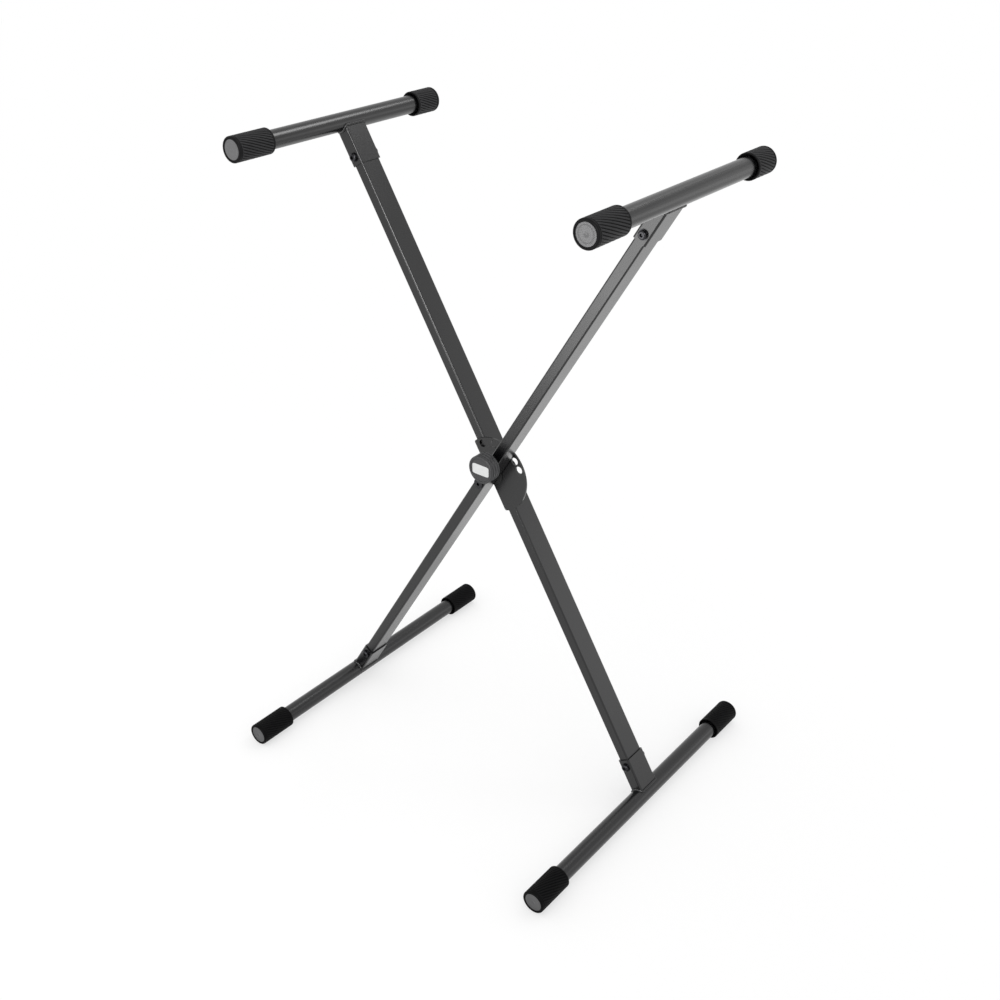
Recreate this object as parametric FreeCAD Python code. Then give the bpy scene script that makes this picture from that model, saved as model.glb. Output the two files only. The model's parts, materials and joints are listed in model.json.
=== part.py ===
import FreeCAD, Part
import math
import os

# Folding keyboard stand: two legs cross on a pivot, each with a round arm on top and a round foot below.
# X runs across the cross, Y along the arms and feet, Z up. The origin is on the floor under the pivot.
# Each leg is drawn upright in its own frame, with the pivot at its origin, and then leant over.

# Legs: rectangular steel tube
LEG_REACH = 463.0            # pivot to the axis of the arm or the foot
LEG_LEAN = 31.16             # degrees from upright at the setting that is drawn
LEG_DEPTH = 30.0             # section along Y
LEG_WIDTH = 14.0             # section across the leg
LEG_WALL = 1.5
LEG_CORNER = 2.0
LEG_GAP = 3.5                # free space between the two legs
LEG_END_GAP = 3.0            # end of the leg to the round tube above or below it

# Arms and feet: round steel tube with rubber caps
BAR_DIAMETER = 22.0
BAR_WALL = 1.5
ARM_LENGTH = 333.0           # over its caps
FOOT_LENGTH = 455.0          # over its caps
CAP_DIAMETER = 30.0
CAP_LENGTH = 53.0
SHORT_CAP_LENGTH = 38.5      # at the rear of the arms
CAP_END = 5.0                # closed end of the cap, beyond the tube
CAP_ROUND = 2.0
CAP_LIP_ROUND = 0.8
CAP_MOUTH_DIAMETER = 27.0    # flare that leads the tube in
CAP_MOUTH_DEPTH = 4.0
CAP_FACE_DIAMETER = 25.2     # sunk disc in the closed end
CAP_FACE_DEPTH = 0.9
CAP_DIMPLE_DIAMETER = 7.0
CAP_DIMPLE_DEPTH = 0.5
CAP_RIM = 3.4                # plain rim between the closed end and the groove
CAP_GROOVE_WIDTH = 1.2
CAP_GROOVE_DEPTH = 0.5
CAP_FIT = 0.05               # radial room of the tube in its cap

# Sockets: short rectangular tubes welded to the round tubes, each with one cross bolt
SOCKET_LENGTH = 54.0         # open end to the axis of the round tube
SOCKET_WALL = 1.5
SOCKET_CORNER = 2.4
SOCKET_FIT = 0.15            # room round the leg
WELD = 2.0                   # radius of the hollow weld
BOLT_OFFSET = 44.0           # cross bolt to the axis of the round tube
BOLT_DIAMETER = 6.0
BOLT_HOLE_FIT = 0.2
BOLT_HEAD_DIAMETER = 10.0
BOLT_HEAD_HEIGHT = 3.0
BOLT_HEAD_ROUND = 1.8
BOLT_KEY = 4.0
BOLT_KEY_DEPTH = 2.0
BOLT_END = 0.5               # thread beyond the nut
WASHER_DIAMETER = 11.6
WASHER_THICKNESS = 0.9
NUT_ACROSS = 10.0
NUT_HEIGHT = 3.2
NUT_CHAMFER = 0.9            # turned off the corners of the nut's outer end
THREAD_FIT = 0.05            # radial room of a thread in its nut or knob

# Pivot: a flat-headed bolt and a sleeve nut with the same head
PIVOT_DIAMETER = 8.0
PIVOT_FIT = 0.05             # running fit in the bushes
PIVOT_HOLE_FIT = 0.2
PIVOT_HEAD_DIAMETER = 13.0
PIVOT_HEAD_HEIGHT = 1.4
PIVOT_HEAD_ROUND = 0.9
PIVOT_KEY = 4.0
PIVOT_KEY_DEPTH = 2.6
PIVOT_THREAD = 6.0
PIVOT_THREAD_LENGTH = 16.0
PIVOT_WASHER_DIAMETER = 14.5
PIVOT_WASHER_THICKNESS = 0.7
SLEEVE_LENGTH = 24.0         # sleeve of the nut, under its head
SLEEVE_BORE_DEPTH = 17.5
SLEEVE_GAP = 0.4             # end of the sleeve to the bolt's shoulder
BUSH_DIAMETER = 10.5
BUSH_HOLE_FIT = 0.05
SPACER_DIAMETER = 24.0

# Locking plate: a half disc on the front of the rear leg
PLATE_RADIUS = 49.0
PLATE_THICKNESS = 2.5
PLATE_BACK = 9.0             # straight edge to the pivot
PLATE_CORNER = 3.0
PIN_RADIUS = 42.0            # pivot to the arc of holes
SETTING_STEP = 16.5          # degrees the front leg turns between two holes
SETTINGS_EACH_WAY = 2        # holes to each side of the one in use
SHUT_CLEARANCE = 0.3         # between the caps and their midway line when the stand is shut

# Lock pin, its guide barrel and spring, and the pull knob
PIN_DIAMETER = 9.8
PIN_FIT = 0.1                # running fit in the leg and the plate
PIN_BITE = 2.3               # depth of the pin in the plate when it is home
PIN_CLEARANCE = 0.4          # tip to plate when the pin is drawn, as it is built
PIN_CHAMFER = 0.5
PIN_SHANK = 7.0
PIN_SHANK_FIT = 0.05
PIN_THREAD = 5.0
SEAT_DIAMETER = 10.6
SEAT_THICKNESS = 1.2
SEAT_DEPTH = 7.0             # the pin's shoulder behind the leg's face when the pin is home
BARREL_DIAMETER = 14.0
BARREL_BORE = 11.2
BARREL_LENGTH = 12.0
BARREL_LIP = 2.0
BARREL_CHAMFER = 0.8
SPRING_DIAMETER = 9.4        # over the centre of the wire
SPRING_WIRE = 1.0
SPRING_TURNS = 4.5
SPRING_END_GAP = 0.05
KNOB_DIAMETER = 36.0
KNOB_DEPTH = 15.0
KNOB_STANDOFF = 21.0         # knob's face to the leg when the pin is home
KNOB_WALL = 3.0
KNOB_FRONT = 4.0
KNOB_ROUND = 1.6
KNOB_FACE_DIAMETER = 30.0
KNOB_FACE_DEPTH = 0.8
KNOB_GROOVE_WIDTH = 1.8
KNOB_GROOVE_DEPTH = 0.9
KNOB_GROOVE_PITCH = 4.4
KNOB_GROOVES = 3
KNOB_BOSS = 12.0
KNOB_BOSS_LENGTH = 4.0
KNOB_SKIN = 2.0              # plastic left between the pin's end and the knob's face

OVERRUN = 1.0                # how far a cutting tool runs past the face that it cuts
TINY = 0.0001

# Worked out from the sizes above
V = FreeCAD.Vector
ALONG_Y = V(0, 1, 0)
LEG_OFFSET = (LEG_GAP + LEG_DEPTH) / 2
LEG_HALF = LEG_REACH - BAR_DIAMETER / 2 - LEG_END_GAP
LEG_FACE = LEG_GAP / 2 + LEG_DEPTH
PIVOT_HEIGHT = LEG_REACH * math.cos(math.radians(LEG_LEAN)) + CAP_DIAMETER / 2
SOCKET_WIDTH = LEG_WIDTH + 2 * (SOCKET_FIT + SOCKET_WALL)
SOCKET_DEPTH = LEG_DEPTH + 2 * (SOCKET_FIT + SOCKET_WALL)
BOLT_HEIGHT = LEG_REACH - BOLT_OFFSET
PLATE_FACE = LEG_GAP / 2 - PLATE_THICKNESS
PIN_DRAW = PIN_CLEARANCE + PIN_BITE
PIN_TIP = PLATE_FACE - PIN_CLEARANCE
SHOULDER = -LEG_FACE + SEAT_DEPTH - PIN_DRAW
SEAT_FACE = SHOULDER - SEAT_THICKNESS
BARREL_FRONT = -LEG_FACE - BARREL_LENGTH
LIP_FACE = BARREL_FRONT + BARREL_LIP
KNOB_FACE = -LEG_FACE - KNOB_STANDOFF - PIN_DRAW
KNOB_INSIDE = KNOB_FACE + KNOB_FRONT
BOSS_END = KNOB_INSIDE + KNOB_BOSS_LENGTH
SHUT_LEAN = math.degrees(math.asin((CAP_DIAMETER / 2 + SHUT_CLEARANCE) / LEG_REACH))


def rod(diameter, start, end, height=0, aside=0):
    """A round bar along Y, at a height on the leg's centre line or aside of it."""
    return Part.makeCylinder(diameter / 2, end - start, V(aside, start, height), ALONG_Y)


def ring(outer, inner, start, end, height=0):
    """A round bar along Y with a hole right through it."""
    return rod(outer, start, end, height).cut(rod(inner, start - OVERRUN, end + OVERRUN, height))


def hexagon(across, start, end, height=0):
    """A six-sided bar along Y, given its width across the flats."""
    radius = across / math.sqrt(3)
    turns = [math.radians(60 * side) for side in range(7)]
    corners = [V(radius * math.cos(a), start, height + radius * math.sin(a)) for a in turns]
    return Part.Face(Part.makePolygon(corners)).extrude(V(0, end - start, 0))


def prism(width, depth, corner, low, high, centre):
    """A bar along the leg with rounded corners, centred on one place in Y."""
    block = Part.makeBox(width, depth, high - low, V(-width / 2, centre - depth / 2, low))
    upright = [edge for edge in block.Edges if edge.BoundBox.ZLength > TINY]
    return block.makeFillet(corner, upright)


def circles_at(shape, place):
    """The circular edges of a turned piece whose centres have one place in Y."""
    rounds = [edge for edge in shape.Edges if isinstance(edge.Curve, Part.Circle)]
    return [edge for edge in rounds if abs(edge.Curve.Center.y - place) < TINY]


def lean(shape, angle):
    """Carry a piece from its upright leg to the leant one, at the pivot's height."""
    leant = shape.copy()
    leant.rotate(V(0, 0, 0), ALONG_Y, angle)
    leant.translate(V(0, 0, PIVOT_HEIGHT))
    return leant


def leg_tube(centre, extra_holes):
    """Rectangular tube with holes through both narrow sides for the pivot, the bolts and any pin."""
    outside = prism(LEG_WIDTH, LEG_DEPTH, LEG_CORNER, -LEG_HALF, LEG_HALF, centre)
    bore_width = LEG_WIDTH - 2 * LEG_WALL
    bore_depth = LEG_DEPTH - 2 * LEG_WALL
    bore_end = LEG_HALF + OVERRUN
    tube = outside.cut(prism(bore_width, bore_depth, LEG_CORNER - LEG_WALL, -bore_end, bore_end, centre))
    bolt_hole = BOLT_DIAMETER + 2 * BOLT_HOLE_FIT
    holes = [(BUSH_DIAMETER + 2 * BUSH_HOLE_FIT, 0), (bolt_hole, BOLT_HEIGHT), (bolt_hole, -BOLT_HEIGHT)]
    near = centre - LEG_DEPTH / 2 - OVERRUN
    far = centre + LEG_DEPTH / 2 + OVERRUN
    for diameter, height in holes + extra_holes:
        tube = tube.cut(rod(diameter, near, far, height))
    return tube


def bar_tube(length, height):
    """Round tube of an arm or a foot, between the closed ends of its caps."""
    half = length / 2 - CAP_END
    return ring(BAR_DIAMETER, BAR_DIAMETER - 2 * BAR_WALL, -half, half, height)


def end_cap(length, cap_length, height, at_rear):
    """Rubber cap: round edges, a sunk disc with a dimple, a groove behind the rim and a flared mouth."""
    face = -length / 2
    mouth = face + cap_length
    cap = rod(CAP_DIAMETER, face, mouth, height)
    cap = cap.makeFillet(CAP_ROUND, circles_at(cap, face))
    cap = cap.makeFillet(CAP_LIP_ROUND, circles_at(cap, mouth))
    bore = BAR_DIAMETER / 2 + CAP_FIT
    cap = cap.cut(rod(2 * bore, face + CAP_END, mouth + OVERRUN, height))
    flare_start = V(0, mouth - CAP_MOUTH_DEPTH, height)
    cap = cap.cut(Part.makeCone(bore, CAP_MOUTH_DIAMETER / 2, CAP_MOUTH_DEPTH, flare_start, ALONG_Y))
    floor = face + CAP_FACE_DEPTH
    cap = cap.cut(rod(CAP_FACE_DIAMETER, face - OVERRUN, floor, height))
    cap = cap.cut(Part.makeCone(CAP_DIMPLE_DIAMETER / 2, 0, CAP_DIMPLE_DEPTH, V(0, floor, height), ALONG_Y))
    groove_floor = CAP_DIAMETER - 2 * CAP_GROOVE_DEPTH
    start = face + CAP_RIM
    cap = cap.cut(ring(CAP_DIAMETER + OVERRUN, groove_floor, start, start + CAP_GROOVE_WIDTH, height))
    if at_rear:
        cap.rotate(V(0, 0, 0), V(0, 0, 1), 180)
    return cap


def seam_edges(joined, centre, height):
    """The edges where a socket's sleeve meets the round tube at that height."""
    seam = []
    for edge in joined.Edges:
        points = edge.discretize(5)
        on_tube = all(abs(math.hypot(p.x, p.z - height) - BAR_DIAMETER / 2) < TINY for p in points)
        at_sleeve = all(abs(p.y - centre) < SOCKET_DEPTH / 2 + TINY for p in points)
        if on_tube and at_sleeve:
            seam.append(edge)
    return seam


def socket(centre, end):
    """Short rectangular tube cut to the round tube it is welded to, with a hollow weld round the joint."""
    bar_axis = end * LEG_REACH
    low, high = sorted((bar_axis, end * (LEG_REACH - SOCKET_LENGTH)))
    width = LEG_WIDTH + 2 * SOCKET_FIT
    depth = LEG_DEPTH + 2 * SOCKET_FIT
    sleeve = prism(SOCKET_WIDTH, SOCKET_DEPTH, SOCKET_CORNER, low, high, centre)
    half = SOCKET_DEPTH / 2 + WELD + OVERRUN
    bar = rod(BAR_DIAMETER, centre - half, centre + half, bar_axis)
    joined = bar.fuse(sleeve)
    welded = joined.makeFillet(WELD, seam_edges(joined, centre, bar_axis)).cut(bar)
    bore = prism(width, depth, LEG_CORNER + SOCKET_FIT, low - OVERRUN, high + OVERRUN, centre)
    hole_half = SOCKET_DEPTH / 2 + OVERRUN
    bolt_hole = BOLT_DIAMETER + 2 * BOLT_HOLE_FIT
    hole = rod(bolt_hole, centre - hole_half, centre + hole_half, end * BOLT_HEIGHT)
    return welded.cut(bore).cut(hole)


def button_bolt(diameter, head, head_height, head_round, key, key_depth, seat, tip, height):
    """Round-headed bolt with its head to the front and a six-sided key recess."""
    crown = rod(head, seat - head_height, seat, height)
    crown = crown.makeFillet(head_round, circles_at(crown, seat - head_height))
    recess = hexagon(key, seat - head_height - OVERRUN, seat - head_height + key_depth, height)
    return crown.fuse(rod(diameter, seat, tip, height)).cut(recess)


def socket_bolt(centre, end):
    """Cross bolt of a socket, from its front side to beyond the nut."""
    seat = centre - SOCKET_DEPTH / 2 - WASHER_THICKNESS
    tip = centre + SOCKET_DEPTH / 2 + NUT_HEIGHT + BOLT_END
    return button_bolt(BOLT_DIAMETER, BOLT_HEAD_DIAMETER, BOLT_HEAD_HEIGHT, BOLT_HEAD_ROUND,
                       BOLT_KEY, BOLT_KEY_DEPTH, seat, tip, end * BOLT_HEIGHT)


def socket_washer(centre, end):
    """Flat washer under the bolt's head."""
    front = centre - SOCKET_DEPTH / 2
    bore = BOLT_DIAMETER + 2 * BOLT_HOLE_FIT
    return ring(WASHER_DIAMETER, bore, front - WASHER_THICKNESS, front, end * BOLT_HEIGHT)


def socket_nut(centre, end):
    """Thin six-sided nut on the socket's rear side, with the corners of its outer end turned off."""
    start = centre + SOCKET_DEPTH / 2
    stop = start + NUT_HEIGHT
    height = end * BOLT_HEIGHT
    turned = rod(2 * NUT_ACROSS / math.sqrt(3), start, stop, height)
    turned = turned.makeChamfer(NUT_CHAMFER, circles_at(turned, stop))
    nut = hexagon(NUT_ACROSS, start, stop, height).common(turned)
    return nut.cut(rod(BOLT_DIAMETER + 2 * THREAD_FIT, start - OVERRUN, stop + OVERRUN, height))


def locking_plate():
    """Half disc on the rear leg with an arc of holes: one for each setting and one for the shut stand."""
    half = math.sqrt(PLATE_RADIUS ** 2 - PLATE_BACK ** 2)
    top = V(-PLATE_BACK, PLATE_FACE, half)
    bottom = V(-PLATE_BACK, PLATE_FACE, -half)
    rim = Part.Arc(top, V(PLATE_RADIUS, PLATE_FACE, 0), bottom).toShape()
    outline = Part.Wire([rim, Part.makeLine(bottom, top)])
    plate = Part.Face(outline).extrude(V(0, PLATE_THICKNESS, 0))
    short = [edge for edge in plate.Edges if abs(edge.BoundBox.YLength - PLATE_THICKNESS) < TINY]
    plate = plate.makeFillet(PLATE_CORNER, short)
    near = PLATE_FACE - OVERRUN
    far = PLATE_FACE + PLATE_THICKNESS + OVERRUN
    plate = plate.cut(rod(PIVOT_DIAMETER + 2 * PIVOT_HOLE_FIT, near, far))
    steps = range(-SETTINGS_EACH_WAY, SETTINGS_EACH_WAY + 1)
    angles = [2 * LEG_LEAN + step * SETTING_STEP for step in steps] + [2 * SHUT_LEAN]
    for angle in map(math.radians, angles):
        up = PIN_RADIUS * math.cos(angle)
        across = PIN_RADIUS * math.sin(angle)
        plate = plate.cut(rod(PIN_DIAMETER + 2 * PIN_FIT, near, far, up, across))
    return plate


def pivot_bolt():
    """Flat-headed bolt from the front, with a shank up to the sleeve nut and a thread in it."""
    seat = -LEG_FACE - PIVOT_WASHER_THICKNESS
    shoulder = LEG_FACE + PIVOT_WASHER_THICKNESS - SLEEVE_LENGTH - SLEEVE_GAP
    bolt = button_bolt(PIVOT_DIAMETER, PIVOT_HEAD_DIAMETER, PIVOT_HEAD_HEIGHT, PIVOT_HEAD_ROUND,
                       PIVOT_KEY, PIVOT_KEY_DEPTH, seat, shoulder, 0)
    return bolt.fuse(rod(PIVOT_THREAD, shoulder, shoulder + PIVOT_THREAD_LENGTH))


def pivot_nut():
    """Sleeve nut from the rear: a flat head like the bolt's on a sleeve that takes the bolt's thread."""
    seat = LEG_FACE + PIVOT_WASHER_THICKNESS
    end = seat + PIVOT_HEAD_HEIGHT
    start = seat - SLEEVE_LENGTH
    head = rod(PIVOT_HEAD_DIAMETER, seat, end)
    head = head.makeFillet(PIVOT_HEAD_ROUND, circles_at(head, end))
    nut = head.fuse(rod(PIVOT_DIAMETER, start, seat))
    nut = nut.cut(rod(PIVOT_THREAD + 2 * THREAD_FIT, start - OVERRUN, start + SLEEVE_BORE_DEPTH))
    return nut.cut(hexagon(PIVOT_KEY, end - PIVOT_KEY_DEPTH, end + OVERRUN))


def pivot_washer(start):
    """Flat washer under a head of the pivot."""
    bore = PIVOT_DIAMETER + 2 * PIVOT_HOLE_FIT
    return ring(PIVOT_WASHER_DIAMETER, bore, start, start + PIVOT_WASHER_THICKNESS)


def pivot_bush(centre):
    """Sleeve in a leg that the pivot runs in."""
    bore = PIVOT_DIAMETER + 2 * PIVOT_FIT
    return ring(BUSH_DIAMETER, bore, centre - LEG_DEPTH / 2, centre + LEG_DEPTH / 2)


def pivot_spacer():
    """Sliding washer between the front leg and the locking plate."""
    return ring(SPACER_DIAMETER, PIVOT_DIAMETER + 2 * PIVOT_HOLE_FIT, -LEG_GAP / 2, PLATE_FACE)


def front_leg_tube():
    """Leg tube with a hole for the pin at its rear and a wider one, as the barrel's bore, at its front."""
    tube = leg_tube(-LEG_OFFSET, [(PIN_DIAMETER + 2 * PIN_FIT, PIN_RADIUS)])
    return tube.cut(rod(BARREL_BORE, -LEG_FACE - OVERRUN, -LEG_FACE + LEG_WALL + OVERRUN, PIN_RADIUS))


def lock_pin():
    """Stepped pin: the part that locks, the shank in the barrel's lip and the thread in the knob."""
    stout = rod(PIN_DIAMETER, SHOULDER, PIN_TIP, PIN_RADIUS)
    stout = stout.makeChamfer(PIN_CHAMFER, circles_at(stout, PIN_TIP))
    shank = rod(PIN_SHANK, BOSS_END, SHOULDER, PIN_RADIUS)
    thread = rod(PIN_THREAD, KNOB_FACE + KNOB_SKIN, BOSS_END, PIN_RADIUS)
    return stout.fuse(shank).fuse(thread).removeSplitter()


def spring_seat():
    """Washer on the pin's shoulder that the spring pushes on."""
    return ring(SEAT_DIAMETER, PIN_SHANK + 2 * PIN_SHANK_FIT, SEAT_FACE, SHOULDER, PIN_RADIUS)


def guide_barrel():
    """Tube on the front leg that holds the spring's end and guides the pin's shank in its lip."""
    barrel = rod(BARREL_DIAMETER, BARREL_FRONT, -LEG_FACE, PIN_RADIUS)
    barrel = barrel.makeChamfer(BARREL_CHAMFER, circles_at(barrel, BARREL_FRONT))
    barrel = barrel.cut(rod(BARREL_BORE, LIP_FACE, -LEG_FACE + OVERRUN, PIN_RADIUS))
    lip_bore = PIN_SHANK + 2 * PIN_SHANK_FIT
    return barrel.cut(rod(lip_bore, BARREL_FRONT - OVERRUN, LIP_FACE + OVERRUN, PIN_RADIUS))


def tangent_arc(start, corner, end):
    """Arc from start to end that touches both lines to their common corner."""
    side = (start - corner).Length
    half = (start - end).Length / 2
    toward = (start + end) / 2 - corner
    sag = side * (side - half) / toward.Length
    return Part.Arc(start, corner + toward * (sag / toward.Length), end).toShape()


def biarc(start, start_way, end, end_way):
    """Two arcs that leave start and reach end along the given directions."""
    chord = end - start
    ways = start_way + end_way
    turn = 2 * (1 - start_way.dot(end_way))
    drift = chord.dot(ways)
    arm = (math.sqrt(drift ** 2 + turn * chord.dot(chord)) - drift) / turn
    first = start + start_way * arm
    last = end - end_way * arm
    joint = (first + last) / 2
    return [tangent_arc(start, first, joint), tangent_arc(joint, last, end)]


def helix_point(turn, rise, base):
    """A place on the spring's centre line, counted in turns."""
    angle = 2 * math.pi * turn
    radius = SPRING_DIAMETER / 2
    return V(radius * math.cos(angle), base - rise * turn, PIN_RADIUS + radius * math.sin(angle))


def helix_way(turn, rise):
    """The direction of the spring's centre line at that place."""
    angle = 2 * math.pi * turn
    radius = SPRING_DIAMETER / 2
    way = V(-radius * math.sin(angle), -rise / (2 * math.pi), radius * math.cos(angle))
    return way.normalize()


def least_gap(wire, turns):
    """Least gap between a coil's turns, measured between points on its centre line."""
    per_turn = 24
    points = wire.discretize(int(per_turn * turns) + 1)
    gaps = []
    for index, point in enumerate(points):
        gaps += [(point - other).Length for other in points[index + per_turn // 2:]]
    return min(gaps) - SPRING_WIRE


def knob_spring():
    """Compression spring between the seat on the pin and the lip of the barrel."""
    base = SEAT_FACE - SPRING_END_GAP - SPRING_WIRE / 2
    end = LIP_FACE + SPRING_END_GAP + SPRING_WIRE / 2
    rise = (base - end) / SPRING_TURNS
    quarters = [quarter / 4 for quarter in range(int(4 * SPRING_TURNS) + 1)]
    edges = []
    for a, b in zip(quarters, quarters[1:]):
        edges += biarc(helix_point(a, rise, base), helix_way(a, rise),
                       helix_point(b, rise, base), helix_way(b, rise))
    path = Part.Wire(edges)
    print("least gap between the spring's turns: %.2f mm" % least_gap(path, SPRING_TURNS))
    section = Part.Circle(helix_point(0, rise, base), helix_way(0, rise), SPRING_WIRE / 2).toShape()
    return path.makePipeShell([Part.Wire([section])], True, False)


def pull_knob():
    """Cup-shaped knob: a sunk face with a round rim, grooves round the grip and a boss on the pin."""
    back = KNOB_FACE + KNOB_DEPTH
    knob = rod(KNOB_DIAMETER, KNOB_FACE, back, PIN_RADIUS)
    knob = knob.makeFillet(KNOB_ROUND, circles_at(knob, KNOB_FACE))
    knob = knob.cut(rod(KNOB_FACE_DIAMETER, KNOB_FACE - OVERRUN, KNOB_FACE + KNOB_FACE_DEPTH, PIN_RADIUS))
    groove_floor = KNOB_DIAMETER - 2 * KNOB_GROOVE_DEPTH
    for groove in range(KNOB_GROOVES):
        start = KNOB_FACE + KNOB_GROOVE_PITCH * (groove + 1) - KNOB_GROOVE_WIDTH
        cutter = ring(KNOB_DIAMETER + OVERRUN, groove_floor, start, start + KNOB_GROOVE_WIDTH, PIN_RADIUS)
        knob = knob.cut(cutter)
    hollow = ring(KNOB_DIAMETER - 2 * KNOB_WALL, KNOB_BOSS, KNOB_INSIDE, back + OVERRUN, PIN_RADIUS)
    knob = knob.cut(hollow).cut(rod(KNOB_BOSS + OVERRUN, BOSS_END, back + OVERRUN, PIN_RADIUS))
    bore = PIN_THREAD + 2 * THREAD_FIT
    return knob.cut(rod(bore, KNOB_FACE + KNOB_SKIN, BOSS_END + OVERRUN, PIN_RADIUS))


def save(name, shape, angle):
    """Write one piece, leant with its leg, to its own file."""
    solid = lean(shape, angle)
    solid.exportStep("parts/%s.step" % name)
    print("%-22s %9.1f mm3 %s" % (name, solid.Volume, "valid" if solid.isValid() else "NOT VALID"))


def save_bar(name, centre, end, length, rear_cap_length, angle):
    """Write an arm or a foot: its tube, socket, caps and cross bolt."""
    height = end * LEG_REACH
    save(name + "_tube", bar_tube(length, height), angle)
    save(name + "_socket", socket(centre, end), angle)
    save(name + "_front_cap", end_cap(length, CAP_LENGTH, height, False), angle)
    save(name + "_rear_cap", end_cap(length, rear_cap_length, height, True), angle)
    save(name + "_bolt", socket_bolt(centre, end), angle)
    save(name + "_washer", socket_washer(centre, end), angle)
    save(name + "_nut", socket_nut(centre, end), angle)


os.makedirs("parts", exist_ok=True)
REAR = -LEG_LEAN
FRONT = LEG_LEAN

save("rear_leg_tube", leg_tube(LEG_OFFSET, []), REAR)
save_bar("left_arm", LEG_OFFSET, 1, ARM_LENGTH, SHORT_CAP_LENGTH, REAR)
save_bar("right_foot", LEG_OFFSET, -1, FOOT_LENGTH, CAP_LENGTH, REAR)
save("locking_plate", locking_plate(), REAR)
save("pivot_bolt", pivot_bolt(), REAR)
save("pivot_head_washer", pivot_washer(-LEG_FACE - PIVOT_WASHER_THICKNESS), REAR)
save("pivot_spacer", pivot_spacer(), REAR)
save("pivot_nut_washer", pivot_washer(LEG_FACE), REAR)
save("pivot_nut", pivot_nut(), REAR)
save("rear_leg_bush", pivot_bush(LEG_OFFSET), REAR)

save("front_leg_tube", front_leg_tube(), FRONT)
save_bar("right_arm", -LEG_OFFSET, 1, ARM_LENGTH, SHORT_CAP_LENGTH, FRONT)
save_bar("left_foot", -LEG_OFFSET, -1, FOOT_LENGTH, CAP_LENGTH, FRONT)
save("front_leg_bush", pivot_bush(-LEG_OFFSET), FRONT)
save("guide_barrel", guide_barrel(), FRONT)
save("knob_spring", knob_spring(), FRONT)
save("lock_pin", lock_pin(), FRONT)
save("spring_seat", spring_seat(), FRONT)
save("pull_knob", pull_knob(), FRONT)

print("pivot height %.2f mm" % PIVOT_HEIGHT)
FOLD_RANGE = (2 * (SHUT_LEAN - LEG_LEAN), SETTINGS_EACH_WAY * SETTING_STEP)
print("front leg turns from %.2f to %.2f degrees" % FOLD_RANGE)
print("pin goes home by %.2f mm" % PIN_DRAW)
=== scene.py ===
# %% [markdown]
# # A folding keyboard stand
# The stand is two steel legs that cross on a pivot. Each leg carries a round arm on top and a
# round foot below, and a pull knob locks the angle. The shapes and sizes come from a CAD model,
# which is loaded as a fixed frame. This lesson gives every piece its finish and makes the few
# shapes that CAD leaves plain.

# %% Load the frame
import json
import math

import bpy
import numpy as np
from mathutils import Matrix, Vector


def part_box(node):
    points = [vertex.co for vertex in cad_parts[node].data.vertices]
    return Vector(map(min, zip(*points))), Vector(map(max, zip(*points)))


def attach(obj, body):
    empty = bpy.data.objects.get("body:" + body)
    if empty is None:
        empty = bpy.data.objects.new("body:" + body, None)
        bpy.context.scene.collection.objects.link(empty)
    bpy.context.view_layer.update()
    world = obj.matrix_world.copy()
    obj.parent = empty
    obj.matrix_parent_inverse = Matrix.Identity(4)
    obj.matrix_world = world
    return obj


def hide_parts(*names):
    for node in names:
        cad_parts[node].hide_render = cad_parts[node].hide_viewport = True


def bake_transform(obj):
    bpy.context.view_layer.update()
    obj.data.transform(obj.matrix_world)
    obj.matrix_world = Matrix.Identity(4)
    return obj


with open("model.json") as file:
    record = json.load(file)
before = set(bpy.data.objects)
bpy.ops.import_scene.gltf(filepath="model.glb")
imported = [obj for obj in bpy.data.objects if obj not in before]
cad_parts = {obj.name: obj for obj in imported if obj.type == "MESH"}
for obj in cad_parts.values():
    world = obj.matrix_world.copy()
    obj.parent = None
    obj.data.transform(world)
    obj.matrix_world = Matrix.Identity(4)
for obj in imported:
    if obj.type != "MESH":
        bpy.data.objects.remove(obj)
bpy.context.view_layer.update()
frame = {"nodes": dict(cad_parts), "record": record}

MM = 0.001
nodes = frame["nodes"]

# %% [markdown]
# ## Colour
# A shader wants linear colour, but a colour picker gives sRGB. Each colour could be converted by
# hand, but hex values are easier to compare and to change, so one function turns them to linear.

# %% Hex to linear
def linear(hex_colour):
    """An sRGB hex value as the linear RGBA that a shader socket takes. The curve is the sRGB
    standard's own: a straight line near black and a power of 2.4 above it."""
    share = np.array([int(hex_colour[start:start + 2], 16) for start in (1, 3, 5)]) / 255
    value = np.where(share <= 0.04045, share / 12.92, ((share + 0.055) / 1.055) ** 2.4)
    return (*(float(channel) for channel in value), 1.0)


print("the mid grey #808080 is", round(linear("#808080")[0], 3), "in linear light")

# %% [markdown]
# ## Shader nodes
# Every finish is a small tree of nodes. Building it node by node takes many lines, so one function
# adds a node with its settings and links. All finishes of the stand end alike, in a surface shader
# that takes a colour, a roughness and a bump, so two more functions open a material and close it.

# %% Nodes
def add_node(tree, kind, values=(), links=(), tones=(), **settings):
    """Add a node: values go to its plain inputs, links to its fed inputs, tones are the hex
    colours of a ramp, and settings are the node's own properties."""
    made = tree.nodes.new(kind)
    for name, value in settings.items():
        setattr(made, name, value)
    for socket, value in dict(values).items():
        made.inputs[socket].default_value = value
    for socket, source in dict(links).items():
        tree.links.new(source, made.inputs[socket])
    for stop, tone in enumerate(tones):
        made.color_ramp.elements[stop].color = linear(tone)
    return made


def open_material(name):
    """An empty node material; returns it with its tree."""
    material = bpy.data.materials.new(name)
    material.use_nodes = True
    material.node_tree.nodes.clear()
    return material, material.node_tree


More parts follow.
